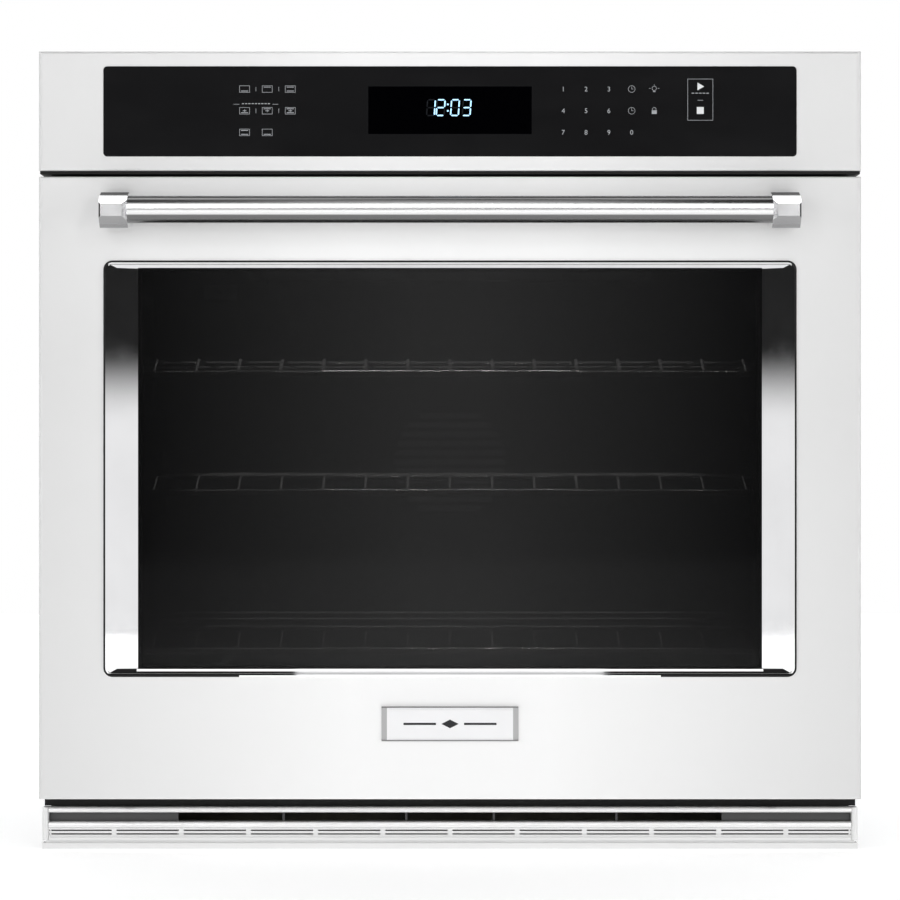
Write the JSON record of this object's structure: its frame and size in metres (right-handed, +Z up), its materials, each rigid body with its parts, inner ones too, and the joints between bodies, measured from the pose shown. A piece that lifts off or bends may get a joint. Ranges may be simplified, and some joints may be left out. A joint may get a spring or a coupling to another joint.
{
  "type": "wall oven",
  "caption": "Built-in single electric wall oven with a touch control panel, windowed drop-down door, bar handle, wire racks and a louvred vent trim.",
  "frame": {"origin": "bottom centre of the bounding box, on the plane the base rails stand on", "axes": "+Z up, -Y out of the front of the oven towards the cook, +X to the right as seen from the front"},
  "size_m": [0.762, 0.681, 0.7422],
  "materials": {
    "white_enamel": "smooth gloss white enamel",
    "black_enamel": "satin black enamel",
    "porcelain": "gloss dark porcelain enamel with fine pale flecks",
    "zinc_steel": "zinc coated sheet steel with a faint spangle",
    "black_steel": "black painted sheet steel",
    "trim_metal": "light satin coated metal",
    "bright_rail": "bright satin aluminium",
    "polished_chrome": "mirror polished",
    "brushed_handle": "satin brushed along its length",
    "touch_glass": "gloss black back-printed glass",
    "window_glass": "dark tinted glass",
    "clear_glass": "heat resisting clear glass",
    "lens_glass": "pressed clear glass",
    "element_sheath": "dark oxidised element sheath",
    "rack_wire": "bright plated wire",
    "bare_steel": "plain stamped steel",
    "alu_sheet": "plain aluminium",
    "glass_wool": "mineral wool blanket",
    "gasket_braid": "woven glass-fibre braid",
    "black_plastic": "moulded black plastic",
    "grey_plastic": "moulded grey plastic",
    "board_green": "printed circuit board lacquer",
    "badge_metal": "satin aluminium plate",
    "legend_ink": "pale printed marks",
    "clock_glow": "lit clock segments"
  },
  "bodies": {
    "chassis": {"side_panel_left": "zinc_steel", "side_panel_right": "zinc_steel", "top_panel": "zinc_steel", "back_panel": "zinc_steel", "base_pan": "zinc_steel", "base_rails": "black_steel", "front_frame": "black_enamel", "cavity_liner": "porcelain", "insulation": "glass_wool", "door_gasket": "gasket_braid", "bake_element": "element_sheath", "broil_element": "element_sheath", "element_clips": "bare_steel", "convection_element": "element_sheath", "fan_cover": "porcelain", "fan_motor": "black_steel", "lamp_housings": "bare_steel", "lamp_lenses": "lens_glass", "temperature_sensor": "bare_steel", "hinge_arm_left": "bare_steel", "hinge_arm_right": "bare_steel", "hinge_receivers": "zinc_steel", "latch_motor": "black_steel", "door_switch": "black_plastic", "control_panel": "white_enamel", "control_glass": "touch_glass", "display_module": "black_plastic", "control_board": "board_green", "air_deflector": "black_steel", "blower_housing": "alu_sheet", "blower_motor": "black_steel", "junction_box": "zinc_steel", "conduit_gland": "alu_sheet", "vent_trim": "trim_metal", "vent_rails": "bright_rail", "vent_end_caps": "trim_metal"},
    "door": {"door_skin": "white_enamel", "window_bezel": "polished_chrome", "outer_glass": "window_glass", "middle_glass": "clear_glass", "inner_glass": "clear_glass", "glass_frame": "black_steel", "door_inner_panel": "porcelain", "door_insulation": "glass_wool", "handle_bar": "brushed_handle", "handle_bracket_left": "polished_chrome", "handle_bracket_right": "polished_chrome", "handle_bolts": "zinc_steel", "badge": "badge_metal", "hinge_channel_left": "zinc_steel", "hinge_channel_right": "zinc_steel"},
    "rack_upper_body": {"rack_upper": "rack_wire"},
    "rack_middle_body": {"rack_middle": "rack_wire"},
    "rack_lower_body": {"rack_lower": "rack_wire"},
    "fan_rotor": {"convection_fan": "bare_steel"},
    "blower_rotor": {"blower_wheel": "alu_sheet"},
    "latch_lever": {"latch_hook": "bare_steel"},
    "switch_button": {"switch_plunger": "grey_plastic"}
  },
  "joints": [
    {"name": "door_hinge", "type": "hinge", "parent": "chassis", "child": "door", "pos_m": [0, -0.264, 0.056], "axis": [1, 0, 0], "range_deg": [0, 90], "stiffness_Nm_per_rad": 34, "springref_deg": -17.19},
    {"name": "rack_upper_slide", "type": "slide", "parent": "chassis", "child": "rack_upper_body", "axis": [0, -1, 0], "range_m": [0, 0.22]},
    {"name": "rack_middle_slide", "type": "slide", "parent": "chassis", "child": "rack_middle_body", "axis": [0, -1, 0], "range_m": [0, 0.22]},
    {"name": "rack_lower_slide", "type": "slide", "parent": "chassis", "child": "rack_lower_body", "axis": [0, -1, 0], "range_m": [0, 0.22]},
    {"name": "convection_fan_spin", "type": "hinge", "parent": "chassis", "child": "fan_rotor", "pos_m": [0, 0.24, 0.36], "axis": [0, 1, 0], "continuous": true},
    {"name": "blower_spin", "type": "hinge", "parent": "chassis", "child": "blower_rotor", "pos_m": [0.15, 0.12, 0.63], "axis": [0, 0, 1], "continuous": true},
    {"name": "latch_turn", "type": "hinge", "parent": "chassis", "child": "latch_lever", "pos_m": [0, -0.215, 0.61], "axis": [0, 0, 1], "range_deg": [0, 20]},
    {"name": "switch_travel", "type": "slide", "parent": "chassis", "child": "switch_button", "axis": [0, -1, 0], "range_m": [0, 0.004]}
  ],
  "couplings": [
    {"joint": "rack_upper_slide", "follows": "door_hinge", "m_per_rad": 0.14},
    {"joint": "rack_middle_slide", "follows": "door_hinge", "m_per_rad": 0.14},
    {"joint": "rack_lower_slide", "follows": "door_hinge", "m_per_rad": 0.14},
    {"joint": "switch_travel", "follows": "door_hinge", "m_per_rad": 0.0025}
  ]
}
